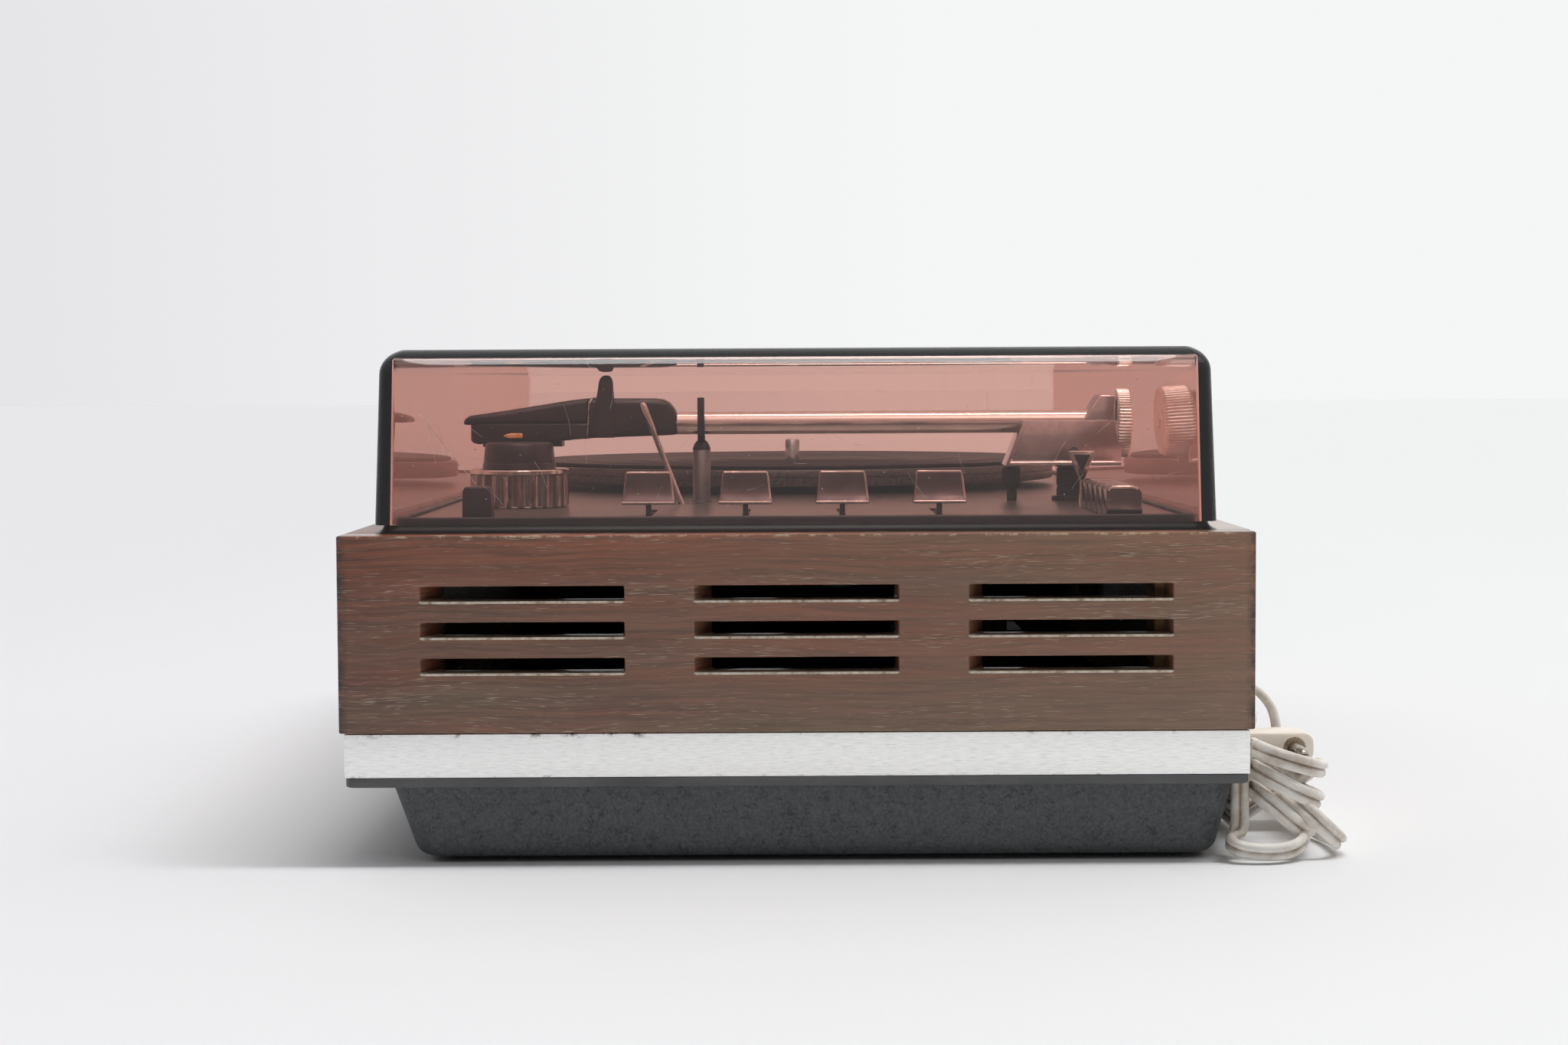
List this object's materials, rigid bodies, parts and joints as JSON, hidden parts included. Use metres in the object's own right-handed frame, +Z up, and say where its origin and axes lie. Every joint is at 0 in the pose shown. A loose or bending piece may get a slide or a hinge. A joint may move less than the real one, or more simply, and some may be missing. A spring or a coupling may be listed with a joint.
{
  "type": "turntable stereo system",
  "caption": "Compact record player stereo in a wooden cabinet with a brushed metal band, black base, tonearm, slide controls and a smoked lift-off dust cover.",
  "frame": {"origin": "centre of the cabinet's footprint, on the surface that its feet stand on", "axes": "+X to the user's right, +Y to the rear, +Z up"},
  "size_m": [0.54, 0.374, 0.1915],
  "materials": {
    "rubber_black": "matte",
    "base_plastic": "grained",
    "aluminium_band": "brushed",
    "softwood": "plain",
    "walnut_veneer": "satin",
    "screw_steel": "satin",
    "black_plastic": "satin",
    "deck_metal": "satin",
    "smoked_acrylic": "clear",
    "bearing_metal": "turned",
    "platter_metal": "satin",
    "mat_rubber": "ribbed",
    "motor_steel": "plain",
    "brass": "turned",
    "arm_nickel": "satin",
    "arm_plastic": "satin",
    "orange_plastic": "satin",
    "knob_chrome": "polished",
    "key_metal": "satin",
    "switch_body": "plain",
    "transformer_iron": "plain",
    "circuit_board": "plain",
    "cord_cream": "plain",
    "plug_cream": "satin"
  },
  "bodies": {
    "cabinet": {"feet": "rubber_black", "base_tray": "base_plastic", "trim_band": "aluminium_band", "plinth_bars": "softwood", "side_panels": "walnut_veneer", "front_panel": "walnut_veneer", "rear_panel": "walnut_veneer", "corner_blocks": "softwood", "screws": "screw_steel", "socket_plate": "black_plastic", "deck_frame": "black_plastic", "deck_panel": "deck_metal", "bearing_housing": "bearing_metal", "motor": "motor_steel", "arm_column": "black_plastic", "arm_rest_post": "arm_nickel", "arm_rest_clip": "black_plastic", "pivot_forks": "screw_steel", "selector_switch": "switch_body", "slider_pots": "switch_body", "key_switches": "switch_body", "transformer": "transformer_iron", "amp_board": "circuit_board", "heat_sink": "deck_metal", "cord_gland": "cord_cream", "mains_lead": "cord_cream", "mains_hank": "cord_cream", "plug_lead": "cord_cream", "plug_body": "plug_cream", "plug_pins": "knob_chrome"},
    "cover": {"dust_cover": "smoked_acrylic"},
    "turntable": {"spindle": "bearing_metal", "platter": "platter_metal", "platter_mat": "mat_rubber"},
    "pulley": {"motor_pulley": "brass"},
    "idler": {"idler_wheel": "rubber_black"},
    "yoke": {"arm_yoke": "motor_steel"},
    "arm": {"arm_bracket": "arm_nickel", "arm_tube": "arm_nickel", "arm_socket": "arm_plastic", "headshell": "arm_plastic", "cartridge": "arm_plastic", "stylus": "orange_plastic", "rear_weight": "arm_plastic"},
    "wheel": {"tracking_wheel": "arm_nickel"},
    "cue": {"cue_lever": "arm_nickel"},
    "lifter": {"lift_post": "black_plastic"},
    "function_knob": {"knob_drum": "knob_chrome", "knob_cap": "arm_plastic"},
    "paddle": {"paddle_lever": "knob_chrome"},
    "power_button": {"power_key": "arm_plastic"},
    "slider_body_1": {"slider_1": "key_metal"},
    "slider_body_2": {"slider_2": "key_metal"},
    "slider_body_3": {"slider_3": "key_metal"},
    "slider_body_4": {"slider_4": "key_metal"},
    "key_body_1": {"key_1": "key_metal"},
    "key_body_2": {"key_2": "key_metal"},
    "key_body_3": {"key_3": "key_metal"},
    "key_body_4": {"key_4": "key_metal"},
    "key_body_5": {"key_5": "key_metal"}
  },
  "joints": [
    {"name": "cover_lift", "type": "slide", "parent": "cabinet", "child": "cover", "axis": [0, 0, 1], "range_m": [0, 0.12]},
    {"name": "platter_spin", "type": "hinge", "parent": "cabinet", "child": "turntable", "pos_m": [-0.098, 0, 0.1272], "axis": [0, 0, 1], "continuous": true},
    {"name": "idler_spin", "type": "hinge", "parent": "cabinet", "child": "idler", "pos_m": [-0.18694, 0.05135, 0.1272], "axis": [0, 0, 1], "continuous": true},
    {"name": "motor_spin", "type": "hinge", "parent": "cabinet", "child": "pulley", "pos_m": [-0.18694, 0.02505, 0.1272], "axis": [0, 0, 1], "continuous": true},
    {"name": "arm_swing", "type": "hinge", "parent": "cabinet", "child": "yoke", "pos_m": [0.1, 0.12, 0.1472], "axis": [0, 0, -1], "range_deg": [0, 46]},
    {"name": "arm_lift", "type": "hinge", "parent": "yoke", "child": "arm", "pos_m": [0.1, 0.12, 0.1485], "axis": [-1, 0, 0], "range_deg": [0, 1.3]},
    {"name": "tracking_force", "type": "hinge", "parent": "arm", "child": "wheel", "pos_m": [0.1, 0.144, 0.1605], "axis": [0, 1, 0], "range_deg": [-150, 150]},
    {"name": "cue_tilt", "type": "hinge", "parent": "cabinet", "child": "cue", "pos_m": [0.116, -0.0447, 0.118], "axis": [-1, 0, 0], "range_deg": [0, 40]},
    {"name": "cue_lift", "type": "slide", "parent": "cabinet", "child": "lifter", "axis": [0, 0, 1], "range_m": [-0.004, 0]},
    {"name": "function_turn", "type": "hinge", "parent": "cabinet", "child": "function_knob", "pos_m": [0.136, -0.1153, 0.1272], "axis": [0, 0, 1], "range_deg": [-60, 60]},
    {"name": "paddle_tilt", "type": "hinge", "parent": "cabinet", "child": "paddle", "pos_m": [0.15, 0.119, 0.118], "axis": [-1, 0, 0], "range_deg": [-12, 12]},
    {"name": "slider_1_move", "type": "slide", "parent": "cabinet", "child": "slider_body_1", "axis": [1, 0, 0], "range_m": [-0.045, 0]},
    {"name": "slider_2_move", "type": "slide", "parent": "cabinet", "child": "slider_body_2", "axis": [1, 0, 0], "range_m": [-0.045, 0]},
    {"name": "slider_3_move", "type": "slide", "parent": "cabinet", "child": "slider_body_3", "axis": [1, 0, 0], "range_m": [-0.045, 0]},
    {"name": "slider_4_move", "type": "slide", "parent": "cabinet", "child": "slider_body_4", "axis": [1, 0, 0], "range_m": [-0.045, 0]},
    {"name": "key_1_press", "type": "slide", "parent": "cabinet", "child": "key_body_1", "axis": [0, 0, -1], "range_m": [0, 0.003], "stiffness_N_per_m": 300, "springref_m": -0.002},
    {"name": "key_2_press", "type": "slide", "parent": "cabinet", "child": "key_body_2", "axis": [0, 0, -1], "range_m": [0, 0.003], "stiffness_N_per_m": 300, "springref_m": -0.002},
    {"name": "key_3_press", "type": "slide", "parent": "cabinet", "child": "key_body_3", "axis": [0, 0, -1], "range_m": [0, 0.003], "stiffness_N_per_m": 300, "springref_m": -0.002},
    {"name": "key_4_press", "type": "slide", "parent": "cabinet", "child": "key_body_4", "axis": [0, 0, -1], "range_m": [0, 0.003], "stiffness_N_per_m": 300, "springref_m": -0.002},
    {"name": "key_5_press", "type": "slide", "parent": "cabinet", "child": "key_body_5", "axis": [0, 0, -1], "range_m": [0, 0.003], "stiffness_N_per_m": 300, "springref_m": -0.002},
    {"name": "power_press", "type": "slide", "parent": "cabinet", "child": "power_button", "axis": [0, 0, -1], "range_m": [0, 0.003], "stiffness_N_per_m": 300, "springref_m": -0.002}
  ],
  "couplings": [
    {"joint": "idler_spin", "follows": "platter_spin", "ratio": 5.6818},
    {"joint": "motor_spin", "follows": "platter_spin", "ratio": -31.25},
    {"joint": "cue_lift", "follows": "cue_tilt", "m_per_rad": -0.00573}
  ]
}
